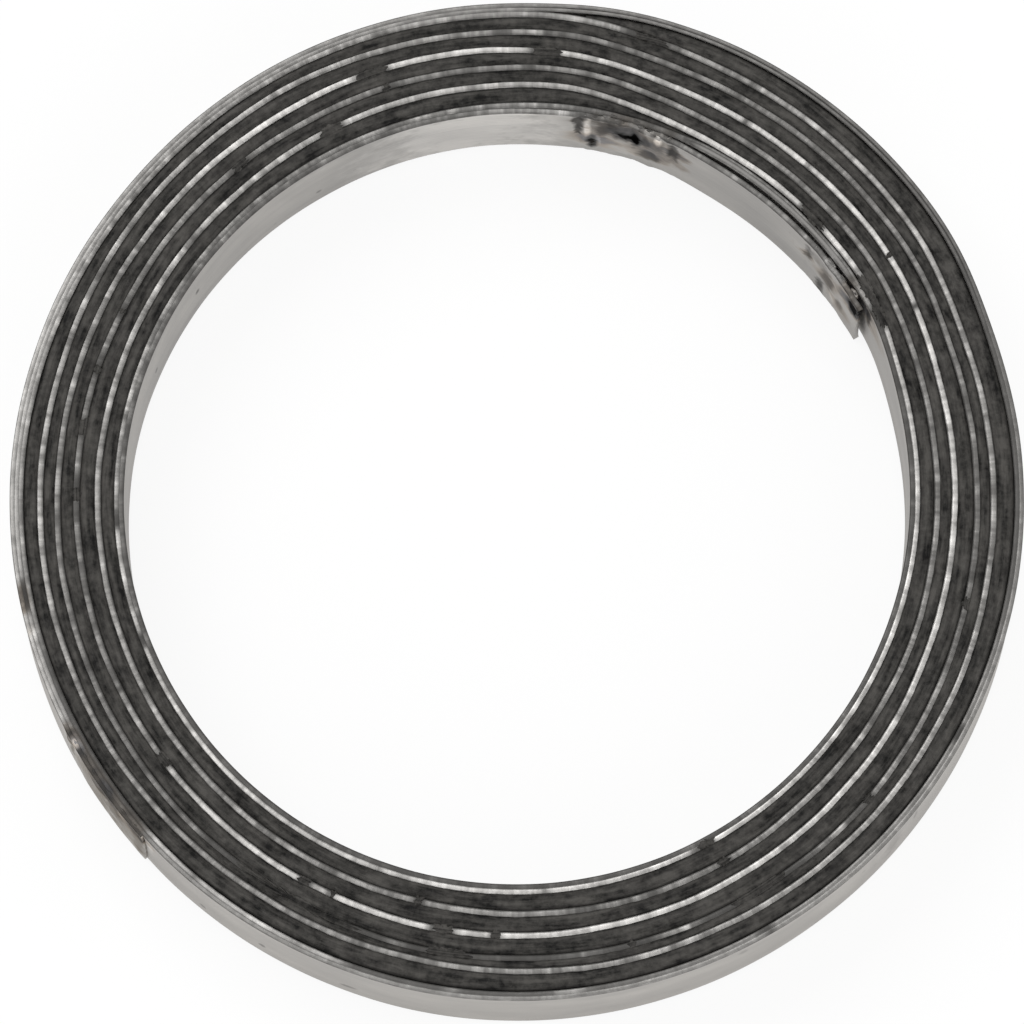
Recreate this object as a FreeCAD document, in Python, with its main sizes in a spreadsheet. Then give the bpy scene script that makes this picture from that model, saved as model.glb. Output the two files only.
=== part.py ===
import FreeCAD, Part
import math
import os

import Sketcher

# Spiral-wound exhaust gasket.
# One thin stainless strip is wound edge-up, anticlockwise outward, with one strip of flexible graphite between
# its turns. The first wraps of the strip are bare and stand a little apart. The last ones are bare too, and are
# pressed and welded onto each other into one solid rim. The plies lie on circles about the bore axis, and each
# ply steps outward twice a turn: where it climbs over the strip's own cut start, and where it climbs over the
# cut start of the filler. Before a step the ply leaves its circle along the tangent and runs straight to the
# corner that it climbs over.
# The origin is on the bore axis, in the plane that the gasket rests on. Lengths are millimetres, angles degrees.

SIZES = [
    ("bore_radius", 14.0, "inner face of the first bare wrap"),
    ("strip_thickness", 0.15, "stainless strip"),
    ("strip_height", 5.6, "width of the strip, which stands on edge"),
    ("wrap_gap", 0.15, "air between the bare wraps at the bore"),
    ("filler_thickness", 0.54, "graphite between two turns of strip"),
    ("filler_proud", 0.1, "how far the graphite stands past the strip's edges, each side"),
    ("strip_start_angle", 29.0, "cut start of the strip, at the bore"),
    ("strip_end_angle", 222.5, "cut end of the strip, on the rim"),
    ("filler_start_angle", 80.0, "cut start of the filler"),
    ("filler_end_angle", 76.0, "cut end of the filler, squeezed into its last step"),
]

# Counts, in the order in which the winding grows. Plies are numbered from 0, which starts at the strip's cut.
BARE_PLIES_INSIDE = 2
FILLER_TURNS = 5
RIM_PLIES = 2

LIFTED_PLIES = range(BARE_PLIES_INSIDE, BARE_PLIES_INSIDE + FILLER_TURNS)
RIM_PLY = LIFTED_PLIES[-1]


def make_sheet(doc):
    """Driving dimensions, one row each: what it is, its value and its alias."""
    sheet = doc.addObject("Spreadsheet::Sheet", "Sizes")
    for row, (alias, value, meaning) in enumerate(SIZES, start=1):
        sheet.set(f"A{row}", meaning)
        sheet.set(f"B{row}", str(value))
        sheet.setAlias(f"B{row}", alias)
    return sheet


def inner_face(ply, lifts):
    """Radius formula for the inner face of a ply that has climbed over the filler's start so many times."""
    bare = f"{ply} * (Sizes.strip_thickness + Sizes.wrap_gap)"
    filled = f"{lifts} * (Sizes.filler_thickness - Sizes.wrap_gap)"
    return f"Sizes.bore_radius + {bare} + {filled}"


def outer_face(ply, lifts, thicknesses=1):
    """Radius formula for the outside of that ply, or of so many plies pressed onto each other."""
    return f"{inner_face(ply, lifts)} + {thicknesses} * Sizes.strip_thickness"


def stretches(first_ply, last_ply):
    """Circular stretches of the winding in order, each with the ray of the step that leads into it."""
    found = []
    for ply in range(first_ply, last_ply + 1):
        lifts = min(max(ply - BARE_PLIES_INSIDE, 0), FILLER_TURNS)
        found.append(("strip_start", ply, lifts))
        if ply in LIFTED_PLIES:
            found.append(("filler_start", ply, lifts + 1))
    return found


class Outline:
    """Closed outlines in one sketch: arcs about the bore axis, straight tangent steps and square cut ends."""

    def __init__(self, body, name):
        self.sketch = body.newObject("Sketcher::SketchObject", name)
        plane = next(f for f in body.Origin.OriginFeatures if f.Role == "XY_Plane")
        self.sketch.AttachmentSupport = (plane, "")
        self.sketch.MapMode = "FlatFace"
        self.geometry = []
        self.constraints = []
        self.formulas = {}
        self.rays = {}

    def add(self, shape, construction=False):
        self.geometry.append((shape, construction))
        return len(self.geometry) - 1

    def bind(self, constraint, name, formula):
        constraint.Name = name
        self.constraints.append(constraint)
        self.formulas[name] = formula

    def relate(self, kind, *points):
        self.constraints.append(Sketcher.Constraint(kind, *points))

    def value(self, formula):
        return FreeCAD.Units.Quantity(self.sketch.evalExpression(formula)).Value

    def point(self, index, position):
        shape = self.geometry[index][0]
        return shape.StartPoint if position == 1 else shape.EndPoint

    def add_ray(self, name):
        """Construction line from the axis, at the polar angle that the sheet gives for this place."""
        formula = f"Sizes.{name}_angle"
        angle = math.radians(self.value(formula))
        reach = self.value("Sizes.bore_radius")
        line = self.add(Part.LineSegment(FreeCAD.Vector(0, 0, 0), polar(reach, angle)), construction=True)
        self.relate("Coincident", line, 1, -1, 1)
        self.bind(Sketcher.Constraint("Angle", line, angle), f"{name}_angle", formula)
        self.bind(Sketcher.Constraint("Distance", line, reach), f"{name}_reach", "Sizes.bore_radius")
        self.rays[name] = (line, angle)

    def add_arc(self, name, formula, start, end):
        """Arc about the axis, whose radius the formula gives."""
        radius = self.value(formula)
        while end < start:
            end += 2 * math.pi
        circle = Part.Circle(FreeCAD.Vector(0, 0, 0), FreeCAD.Vector(0, 0, 1), radius)
        arc = self.add(Part.ArcOfCircle(circle, start, end))
        self.relate("Coincident", arc, 3, -1, 1)
        self.bind(Sketcher.Constraint("Radius", arc, radius), name, formula)
        return arc

    def add_face(self, side, steps, last_ray, beyond=None):
        """One face of the winding: an arc for each step's ray and radius formula, with straight runs between.

        The face ends on the last ray. If the formula of the circle beyond is given, it ends earlier, where it
        leaves its last circle for the step on that ray. Returns its two end points.
        """
        radii = [self.value(formula) for ray, formula in steps]
        rays = [ray for ray, formula in steps] + [last_ray]
        if beyond:
            radii.append(self.value(beyond))
        arcs = []
        for index, (ray, formula) in enumerate(steps):
            end = self.rays[rays[index + 1]][1]
            if index + 1 < len(radii):
                end -= math.acos(radii[index] / radii[index + 1])
            arc = self.add_arc(f"{side}_{index}", formula, self.rays[ray][1], end)
            self.relate("PointOnObject", arc, 1, self.rays[ray][0])
            if arcs:
                self.add_step(arcs[-1], (arc, 1))
            arcs.append(arc)
        if not beyond:
            self.relate("PointOnObject", arcs[-1], 2, self.rays[last_ray][0])
        return (arcs[0], 1), (arcs[-1], 2)

    def add_step(self, before, corner):
        """Straight run that leaves an arc's end along its tangent, out to the corner that it climbs over."""
        line = self.add(Part.LineSegment(self.point(before, 2), self.point(*corner)))
        self.relate("Tangent", before, 2, line, 1)
        self.relate("Coincident", line, 2, *corner)

    def add_descent(self, corner, name, formula, last_ray):
        """Straight run down from a corner onto a smaller circle, then that circle's arc to the last ray."""
        start = self.point(*corner)
        drop = math.acos(self.value(formula) / start.Length)
        landing = math.atan2(start.y, start.x) + drop
        arc = self.add_arc(name, formula, landing, self.rays[last_ray][1])
        line = self.add(Part.LineSegment(start, self.point(arc, 1)))
        self.relate("Coincident", line, 1, *corner)
        self.relate("Tangent", line, 2, arc, 1)
        self.relate("PointOnObject", arc, 2, self.rays[last_ray][0])
        return (arc, 2)

    def add_cut_step(self, before, formula, corner_ray, cut_ray):
        """Start of a step towards a circle's corner on one ray, cut off where it crosses another ray."""
        start = self.point(before, 2)
        radius = self.value(formula)
        corner = polar(radius, self.rays[corner_ray][1])
        run = self.add(Part.LineSegment(start, corner), construction=True)
        self.relate("Tangent", before, 2, run, 1)
        self.relate("PointOnObject", run, 2, self.rays[corner_ray][0])
        self.bind(Sketcher.Constraint("Distance", -1, 1, run, 2, radius), "corner_radius", formula)
        line = self.add(Part.LineSegment(start, crossing(start, corner, self.rays[cut_ray][1])))
        self.relate("Coincident", line, 1, before, 2)
        self.relate("PointOnObject", line, 2, run)
        self.relate("PointOnObject", line, 2, self.rays[cut_ray][0])
        return (line, 2)

    def add_cut_end(self, first, second):
        """Straight cut across the strip, between the end points of its two faces."""
        line = self.add(Part.LineSegment(self.point(*first), self.point(*second)))
        self.relate("Coincident", line, 1, *first)
        self.relate("Coincident", line, 2, *second)

    def finish(self):
        for shape, construction in self.geometry:
            self.sketch.addGeometry(shape, construction)
        self.sketch.addConstraint(self.constraints)
        for name, formula in self.formulas.items():
            self.sketch.setExpression(f"Constraints.{name}", formula)
        return self.sketch


def polar(radius, angle):
    return FreeCAD.Vector(radius * math.cos(angle), radius * math.sin(angle), 0)


def crossing(start, end, angle):
    """Where the line from start to end crosses the ray at this angle."""
    across = FreeCAD.Vector(-math.sin(angle), math.cos(angle), 0)
    share = across.dot(start) / (across.dot(start) - across.dot(end))
    return start + (end - start) * share


def pad(body, sketch, length):
    """Raises the outline to its height."""
    feature = body.newObject("PartDesign::Pad", f"{body.Name}_pad")
    feature.Profile = sketch
    feature.setExpression("Length", length)
    sketch.Visibility = False
    return feature


def make_winding_strip(doc):
    """The stainless strip, from its cut start at the bore to its cut end on the rim.

    Its first outline is the bore and the open way between the plies, its second the rim's outside.
    """
    body = doc.addObject("PartDesign::Body", "winding_strip")
    outline = Outline(body, "strip_outline")
    outline.add_ray("strip_start")
    outline.add_ray("filler_start")
    outline.add_ray("strip_end")
    inner = [(ray, inner_face(ply, lifts)) for ray, ply, lifts in stretches(0, RIM_PLY + 1)]
    outer = [(ray, outer_face(ply, lifts)) for ray, ply, lifts in stretches(0, RIM_PLY)[:-1]]
    inner_start, pocket_corner = outline.add_face("inner", inner, "filler_start")
    outer_start, outer_end = outline.add_face("outer", outer, "filler_start", beyond=inner[-1][1])
    outline.add_cut_end(inner_start, outer_start)
    outline.add_step(outer_end[0], pocket_corner)

    rim = outer_face(RIM_PLY, FILLER_TURNS, RIM_PLIES)
    raised_rim = outer_face(RIM_PLY + 1, FILLER_TURNS, RIM_PLIES)
    last_wrap = outer_face(RIM_PLY, FILLER_TURNS, RIM_PLIES + 1)
    climb = [("strip_end", rim), ("strip_start", raised_rim)]
    rim_start, rim_corner = outline.add_face("rim", climb, "filler_start")
    strip_end = outline.add_descent(rim_corner, "last_wrap", last_wrap, "strip_end")
    outline.add_cut_end(strip_end, rim_start)
    pad(body, outline.finish(), "Sizes.strip_height")
    body.setExpression("Placement.Base.z", "Sizes.filler_proud")
    return body


def make_graphite_filler(doc):
    """The graphite strip, which fills the way between one ply and the next for its whole length."""
    body = doc.addObject("PartDesign::Body", "graphite_filler")
    outline = Outline(body, "filler_outline")
    outline.add_ray("strip_start")
    outline.add_ray("filler_start")
    outline.add_ray("filler_end")
    below = stretches(LIFTED_PLIES[0] - 1, RIM_PLY)[:-1]
    above = stretches(LIFTED_PLIES[0], RIM_PLY + 1)[1:]
    inner = [(ray, outer_face(ply, lifts)) for ray, ply, lifts in below]
    outer = [(ray, inner_face(ply, lifts)) for ray, ply, lifts in above]
    inner[0] = ("filler_start", inner[0][1])
    inner_start, inner_end = outline.add_face("inner", inner, "filler_start", beyond=outer[-1][1])
    outer_start, outer_end = outline.add_face("outer", outer, "filler_end")
    cut = outline.add_cut_step(inner_end[0], outer[-1][1], "filler_start", "filler_end")
    outline.add_cut_end(inner_start, outer_start)
    outline.add_cut_end(cut, outer_end)
    pad(body, outline.finish(), "Sizes.strip_height + 2 * Sizes.filler_proud")
    return body


def check(doc, bodies):
    """Stops if any object failed or any solid is not whole."""
    for item in doc.Objects:
        if "Invalid" in item.State or "Error" in item.State:
            raise RuntimeError(f"{item.Name} did not recompute: {item.State}")
    for body in bodies:
        if body.Shape.isNull() or not body.Shape.isValid() or len(body.Shape.Solids) != 1:
            raise RuntimeError(f"{body.Label} is not one valid solid")


def main():
    doc = FreeCAD.newDocument("exhaust_gasket")
    make_sheet(doc)
    doc.recompute()
    bodies = [make_winding_strip(doc), make_graphite_filler(doc)]
    doc.recompute()
    check(doc, bodies)
    os.makedirs("parts", exist_ok=True)
    for body in bodies:
        body.Shape.exportStep(f"parts/{body.Label}.step")
        print(body.Label, "volume", round(body.Shape.Volume, 3), "faces", len(body.Shape.Faces))


main()
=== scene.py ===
import bpy
import math
import numpy as np
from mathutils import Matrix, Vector, noise


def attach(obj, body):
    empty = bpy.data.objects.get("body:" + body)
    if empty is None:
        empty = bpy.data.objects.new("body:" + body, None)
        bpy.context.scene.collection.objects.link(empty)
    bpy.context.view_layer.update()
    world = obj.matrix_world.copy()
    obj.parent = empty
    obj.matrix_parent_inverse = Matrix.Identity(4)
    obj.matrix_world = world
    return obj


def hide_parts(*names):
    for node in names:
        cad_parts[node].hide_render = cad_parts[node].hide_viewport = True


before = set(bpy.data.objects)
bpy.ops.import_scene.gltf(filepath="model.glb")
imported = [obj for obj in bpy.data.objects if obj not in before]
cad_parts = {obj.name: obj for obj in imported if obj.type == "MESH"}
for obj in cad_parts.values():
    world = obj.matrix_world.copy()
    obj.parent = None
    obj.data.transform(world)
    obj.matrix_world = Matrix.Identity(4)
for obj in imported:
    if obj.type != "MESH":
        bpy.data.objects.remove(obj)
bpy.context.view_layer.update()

MM = 0.001

# The winding, in millimetres and degrees, as the CAD has it.
STRIP = 0.15
GAP = 0.15
FILLER = 0.54
BORE = 14.0
Z_LOW = 0.1
TOP = 5.8
MIDDLE = TOP / 2
CUT, CLIMB, FILLER_END, STRIP_END = 29.0, 80.0, 76.0, 222.5
PLIES = "WZABCDEFG"
FILLER_TURNS = 5

# Rough mean radius of the winding, which turns degrees into millimetres where that is near enough.
MEAN_RADIUS = 16
# How softly the stiff strip turns at a step, and how softly its wander changes, in degrees.
STEP_SOFTNESS = 4.2
WANDER_SOFTNESS = 3.0
# Small waves of a hand-fed strip: millimetres, waves per radian, phase.
WAVES = [(0.008, 11.3, 0.4), (0.007, 19.7, 1.3), (0.004, 38.3, 0.0)]
# Unwrapped degrees over which those waves grow, where the filler leaves them room, and over which they die down.
WAVES_RISE, WAVES_FALL = (700, 760), (2180, 2300)
# Depth of the rolled V in the strip.
V_DEPTH = 0.04
# Rows of the strip's outline further than this from the middle height belong to its cut edges.
EDGE_REACH = 2.7
# Unwrapped degrees over which the burr widens, the second bare wrap's edge is double, and the rim begins.
BURR_WIDENS = (745, 757)
DOUBLE_STARTS, DOUBLE_ENDS = (391, 396), (422, 427)
RIM_STARTS = (2260, 2290)
# Degrees round the ring over which the rim's wraps merge into one band and part again.
RIM_MERGES, RIM_PARTS = (82, 100), (16, 30)
# How much wider the cut edges are, in millimetres: burr, its growth, loss at the rim, merged rim, double edge.
BURR, BURR_GROWTH, RIM_LOSS, MERGED_SPREAD, DOUBLE_SPREAD = 0.070, 0.034, 0.006, 0.055, 0.085
# Depth of the slot in the double edge.
SLOT_DEPTH = 0.025
# The filler: degrees that its thin wedge starts early, how far the wedge and the squeezed end are sunk, least width.
WEDGE, WEDGE_SINK, END_SINK, LEAST_WIDTH = 20, 0.30, 0.12, 0.02
# Section of the filler from its inner wall outward: share of its width, drop below the sealing face.
FILLER_SECTION = [
    (0.0, 0.17), (0.03, 0.13), (0.09, 0.085), (0.18, 0.045), (0.3, 0.02), (0.42, 0.01), (0.5, 0.006), (0.58, 0.01),
    (0.7, 0.02), (0.82, 0.045), (0.91, 0.085), (0.97, 0.13), (1.0, 0.17),
]
# How far the smears of graphite lie below the filler's top.
SMEAR_SINK = 0.056
# Spacing of the strip's mesh rings, in unwrapped degrees: from, to, step. Closer at the ends and the welds.
STRIP_RINGS = [(29, 389, 1.0), (29, 45, 0.4), (63, 83, 0.4), (389, 749, 1.2), (749, 3200, 1.0), (3060, 3102.5, 0.4)]
FILLER_RING_STEP = 0.6
# Rings nearer than this to the last one are left out, in degrees.
TOO_CLOSE = 0.11


def winding():
    """Unwrapped start angle and inner radius of each circular stretch of the strip."""
    found = []
    for ply, name in enumerate(PLIES):
        turn = 360.0 * ply
        lifts = min(max(ply - 2, 0), FILLER_TURNS)
        radius = BORE + ply * (STRIP + GAP) + lifts * (FILLER - GAP)
        if name == "G":
            radius = BORE + 7 * (STRIP + GAP) + FILLER_TURNS * (FILLER - GAP) + STRIP
        found.append((CUT + turn, radius))
        if name in "ABCDE":
            found.append((CLIMB + turn, radius + FILLER - GAP))
        if name in "FG":
            found.append((CLIMB + turn, radius - GAP))
    return found


STRETCHES = winding()
LAST_TURN = 360.0 * PLIES.index("G")
LAST_ANGLE = STRIP_END + LAST_TURN


def sharp_radius(angles, offset):
    """Radius of the strip's face at unwrapped angles: arcs about the axis, with straight runs at the steps."""
    starts = np.array([s for s, r in STRETCHES])
    radii = np.array([r for s, r in STRETCHES]) + offset
    ends = np.append(starts[1:], 1e9)
    after = np.append(radii[1:], radii[-1])
    before = np.insert(radii[:-1], 0, radii[0])
    i = np.clip(np.searchsorted(starts, angles, side="right") - 1, 0, len(starts) - 1)
    r = radii[i]
    leave = ends[i] - np.degrees(np.arccos(np.minimum(r / np.maximum(after[i], r), 1)))
    land = starts[i] + np.degrees(np.arccos(np.minimum(r / np.maximum(before[i], r), 1)))
    turn = np.where(angles > leave, angles - leave, np.where(angles < land, land - angles, 0.0))
    return r / np.cos(np.radians(turn))


def ply_radius(angles, offset):
    """The same, with the corners of the steps rounded by the stiffness of the strip."""
    reach = np.linspace(-9, 9, 19)
    weight = np.exp(-0.5 * (reach / STEP_SOFTNESS) ** 2)
    return sum(w * sharp_radius(angles + a, offset) for a, w in zip(reach, weight)) / weight.sum()


def ramp(x, a, b):
    """Smooth rise from 0 at a to 1 at b."""
    t = np.clip((x - a) / (b - a), 0, 1)
    return t * t * (3 - 2 * t)


# How far the real winding strays from its circles. For each ply: angle, push outward in hundredths of a millimetre.
PUSH = {
    "W": [(29, 3), (40, 2), (50, 0), (61, 0), (67, 14), (80, 14), (86, 8), (92, 8), (100, 6), (112, 4), (124, 4),
          (140, 9), (155, 12), (170, 14), (210, 14), (225, 12), (245, 8), (262, 4), (285, 3), (320, 3), (340, 7),
          (355, 12), (368, 14), (375, 19), (381, 24), (386, 24), (389, 17)],
    "Z": [(29, 17), (34, 10), (42, 8), (62, 8), (68, 6), (80, 5), (90, -1), (100, -5), (110, -9), (124, -9),
          (136, -5), (150, -2), (170, 0), (222, 0), (240, -3), (256, -8), (280, -11), (315, -12), (335, -8),
          (350, -4), (362, 1), (375, 6), (382, 11), (389, 13)],
    "A": [(29, 13), (45, 10), (60, 9), (70, 14), (80, 9), (92, 6), (105, 2), (122, -3), (145, -5), (165, -2),
          (200, 0), (225, 2), (252, -3), (270, 0), (288, 7), (300, 6), (309, -1), (330, 1), (365, 3), (382, 11),
          (389, 4)],
    "B": [(29, 3), (50, 1), (62, 4), (71, 8), (81, 5), (92, 0), (115, -2), (150, 0), (172, 7), (210, 8), (230, 7),
          (260, 10), (280, 10), (300, 6), (325, 2), (342, -4), (360, -6), (372, 1), (382, 4), (389, 0)],
    "C": [(29, -2), (50, 0), (60, -3), (71, 0), (80, -7), (92, -3), (110, 0), (124, -5), (140, -1), (165, 3),
          (190, 9), (220, 14), (245, 20), (260, 26), (290, 25), (320, 21), (335, 16), (350, 9), (375, 9), (389, 1)],
    "D": [(29, 1), (40, -2), (60, -2), (71, 1), (80, -8), (100, -5), (118, 1), (140, -1), (162, -5), (178, -2),
          (190, 1), (218, 0), (236, -7), (252, -7), (264, -3), (282, 5), (300, 4), (320, 6), (340, 1), (355, -2),
          (372, -4), (389, -12)],
    "E": [(29, -12), (50, -11), (60, -7), (71, -6), (79, -13), (90, -10), (118, -12), (140, -17), (160, -8),
          (174, -1), (200, 0), (214, 2), (226, 9), (248, 12), (262, 14), (340, 14), (368, 13), (382, 10), (389, 5)],
    "F": [(29, 5), (62, 1), (79, -5), (92, -9), (118, -12), (140, -16), (160, -8), (174, -1), (200, 0), (214, 2),
          (226, 9), (248, 12), (262, 14), (340, 14), (368, 12), (389, 5)],
    "G": [(29, 5), (62, 1), (79, -5), (92, -9), (118, -12), (140, -16), (160, -8), (174, -1), (200, 0), (214, 1),
          (223, 2)],
}


def push_table():
    """The pushes above, smoothed, for every unwrapped degree."""
    knots = sorted((a + 360 * PLIES.index(name), p / 100) for name, steps in PUSH.items() for a, p in steps)
    grid = np.arange(-30, 3301, 1.0)
    raw = np.interp(grid, [a for a, p in knots], [p for a, p in knots])
    reach = np.arange(-9, 10)
    weight = np.exp(-0.5 * (reach / WANDER_SOFTNESS) ** 2)
    padded = np.pad(raw, 9, mode="edge")
    return grid, np.convolve(padded, weight / weight.sum(), mode="valid")


PUSH_GRID, PUSH_VALUES = push_table()


def wander(angles):
    """Push outward of a ply at unwrapped angles, with the small waves of a hand-fed strip."""
    t = np.radians(angles)
    waves = sum(size * np.sin(rate * t + phase) for size, rate, phase in WAVES)
    free = 0.3 + 0.7 * ramp(angles, *WAVES_RISE) * (1 - ramp(angles, *WAVES_FALL))
    return np.interp(angles, PUSH_GRID, PUSH_VALUES) + waves * free


def spot_press(angles, z, centre, height, depth, width, lip):
    """Push of an electrode mark into a wall: a dent with a low raised lip round it."""
    across = np.radians(np.mod(angles - centre + 180, 360) - 180) * MEAN_RADIUS
    rho = np.hypot(across, z - height) / width
    return depth * np.exp(-rho ** 2 * 1.6) - lip * np.exp(-((rho - 1.15) / 0.28) ** 2)


# Spot welds: ply, angle, height, width, depth of the dent, lip.
WELDS = [
    ("W", 73.0, 5.0, 0.75, 0.13, 0.05), ("W", 69.8, 2.2, 0.60, 0.07, 0.02), ("W", 78.9, 1.7, 0.45, 0.08, 0.03),
    ("W", 75.6, 3.9, 0.50, 0.07, 0.03), ("W", 41.2, 3.7, 0.50, 0.06, 0.02), ("W", 38.5, 1.0, 0.45, 0.06, 0.02),
    ("W", 36.6, 3.5, 0.60, 0.07, 0.02), ("W", 31.4, 4.6, 0.60, 0.08, 0.03), ("G", 210.6, 3.0, 0.85, -0.06, -0.03),
    ("G", 216.5, 3.2, 0.85, -0.06, -0.03), ("G", 190.6, 4.4, 0.45, -0.04, -0.01),
]
# Straight creases that the electrode's edge left: ply, angle, half width in degrees, depth.
CREASES = [
    ("W", 81.1, 0.42, 0.09), ("W", 79.7, 0.50, -0.04), ("W", 68.9, 0.45, -0.04), ("W", 66.5, 0.45, 0.07),
    ("W", 41.6, 0.45, 0.05), ("G", 207.8, 0.45, 0.05), ("G", 209.4, 0.60, -0.03),
]


def crumple_at(angles, z):
    """Uneven push of the walls round the welds, strongest at the first one."""
    ply = np.floor((angles - CUT) / 360.0).astype(int)
    first_weld = ramp(angles, 65, 67) * (1 - ramp(angles, 80.5, 81.5))
    second_weld = 0.6 * ramp(angles, 29, 31) * (1 - ramp(angles, 41, 43))
    patch = np.where(ply == 0, first_weld + second_weld, 0)
    patch = patch + np.where(ply == PLIES.index("G"), 0.3 * ramp(angles - LAST_TURN, 207, 209), 0)
    crumple = np.zeros_like(angles)
    for i in np.argwhere(patch > 0.01):
        i = tuple(i)
        p = Vector((math.radians(angles[i]) * MEAN_RADIUS * 1.3, z[i] * 1.1, 3.0))
        crumple[i] = noise.fractal(p, 0.8, 2.0, 4) * 0.045
    return crumple * patch


def wall_push(angles, z):
    """Radial push of the strip's walls: the rolled V, the spot welds, the creases and the crumpled metal."""
    push = V_DEPTH / 2 - V_DEPTH * (1 - np.abs(z - MIDDLE) / (MIDDLE - Z_LOW))
    ply = np.floor((angles - CUT) / 360.0).astype(int)
    for name, centre, height, width, depth, lip in WELDS:
        here = ply == PLIES.index(name)
        push = push + np.where(here, spot_press(angles, z, centre, height, depth, width, lip), 0)
    for name, centre, half, depth in CREASES:
        here = ply == PLIES.index(name)
        across = np.mod(angles - centre + 180, 360) - 180
        fade = ramp(z, 0.8, 1.8) * (1 - 0.85 * ramp(z, 4.7, 5.5))
        push = push + np.where(here, depth * np.exp(-(across / half) ** 2) * fade, 0)
    return push + crumple_at(angles, z)


def stations(first, last, steps):
    """Unwrapped angles for the mesh rings. steps holds (from, to, step). The corners of the winding are added."""
    found = [first, last]
    for a, b, step in steps:
        found += list(np.arange(max(a, first), min(b, last), step))
    for turn in range(-1, 10):
        found += [CUT + 360 * turn, CLIMB + 360 * turn]
    found = np.unique(np.round([f for f in found if first <= f <= last], 3))
    keep = np.concatenate([[True], np.diff(found) > TOO_CLOSE])
    corner = np.isin(np.round(np.mod(found, 360), 3), [CUT, CLIMB]) | (found == last)
    keep |= corner
    for i in np.argwhere(corner).ravel():
        if i > 0 and found[i] - found[i - 1] < TOO_CLOSE and not corner[i - 1]:
            keep[i - 1] = False
    return found[keep]


def add_mesh(name, verts, faces, attributes=()):
    """A smooth mesh object. attributes holds (name, one number or three per vertex)."""
    mesh = bpy.data.meshes.new(name)
    mesh.from_pydata(verts.tolist(), [], faces)
    for key, values in attributes:
        kind, field = ("FLOAT", "value") if values.ndim == 1 else ("FLOAT_VECTOR", "vector")
        mesh.attributes.new(key, kind, "POINT").data.foreach_set(field, values.astype(np.float32).ravel())
    mesh.validate()
    mesh.update()
    mesh.polygons.foreach_set("use_smooth", [True] * len(mesh.polygons))
    obj = bpy.data.objects.new(name, mesh)
    bpy.context.scene.collection.objects.link(obj)
    return obj


def ring_faces(rings, size):
    """The sides of a tube of mesh rings with so many points each."""
    faces = []
    for i in range(rings - 1):
        for j in range(size):
            k = (j + 1) % size
            faces.append((i * size + j, i * size + k, (i + 1) * size + k, (i + 1) * size + j))
    return faces


# How bare and bright the strip's cut edge is. For each ply: angle, level. 0 is filmed over with graphite. The level is
# partly the graphite film and partly painted highlight: arcs whose tilted edge would catch more light get a higher
# level.
EDGE_LEVELS = {
    "W": [(29, 0.46), (36, 0.40), (62, 0.44), (66, 0.42), (70, 0.40), (80, 0.40), (83, 0.50), (88, 0.48), (96, 0.32),
          (125, 0.28), (165, 0.28), (250, 0.20), (330, 0.22), (375, 0.18), (389, 0.15)],
    "Z": [(29, 0.50), (36, 0.47), (62, 0.46), (66, 0.26), (80, 0.30), (88, 0.44), (112, 0.42), (140, 0.36),
          (165, 0.52), (183, 0.46), (186, 0.74), (197, 0.60), (208, 0.68), (222, 0.90), (240, 0.74), (260, 0.92),
          (286, 0.80), (350, 0.80), (372, 0.76), (384, 0.72), (386.5, 0.12), (389, 0.10)],
    "A": [(29, 0.10), (32, 0.14), (35.0, 0.88), (58, 0.96), (80, 0.62), (110, 0.66), (130, 0.62), (170, 0.54),
          (225, 0.51), (250, 0.53), (265, 0.52), (285, 0.34), (302, 0.46), (312, 0.60), (325, 0.45), (389, 0.42)],
    "B": [(29, 0.46), (80, 0.46), (96, 0.36), (135, 0.42), (160, 0.35), (205, 0.42), (218, 0.60), (226, 0.85),
          (262, 0.86), (284, 0.92), (292, 0.84), (325, 0.80), (345, 0.80), (389, 0.84)],
    "C": [(29, 0.96), (60, 0.84), (80, 0.76), (110, 0.90), (128, 0.86), (138, 0.62), (146, 0.46), (180, 0.44),
          (226, 0.34), (231, 0.12), (318, 0.12), (321, 0.46), (338, 0.42), (344, 0.22), (352, 0.34), (389, 0.42)],
    "D": [(29, 0.45), (85, 0.38), (115, 0.57), (132, 0.60), (145, 0.48), (160, 0.53), (190, 0.62), (200, 0.50),
          (260, 0.49), (325, 0.62), (350, 0.48), (389, 0.62)],
    "E": [(29, 0.68), (69, 0.56), (71.5, 0.15), (76, 0.16), (79, 0.56), (95, 0.50), (140, 0.46), (160, 0.52),
          (196, 0.44), (199, 0.20), (221, 0.18), (224, 0.70), (249, 0.66), (251, 0.22), (274, 0.26), (300, 0.46),
          (340, 0.40), (350, 0.20), (389, 0.22)],
    "F": [(29, 0.28), (80, 0.42), (98, 0.44), (138, 0.46), (156, 0.58), (188, 0.60), (206, 0.55), (208, 0.30),
          (222, 0.34), (226, 0.50), (290, 0.50), (340, 0.47), (389, 0.28)],
    "G": [(29, 0.30), (80, 0.44), (98, 0.44), (138, 0.48), (156, 0.62), (206, 0.66), (208, 0.25), (223, 0.22)],
}
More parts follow.
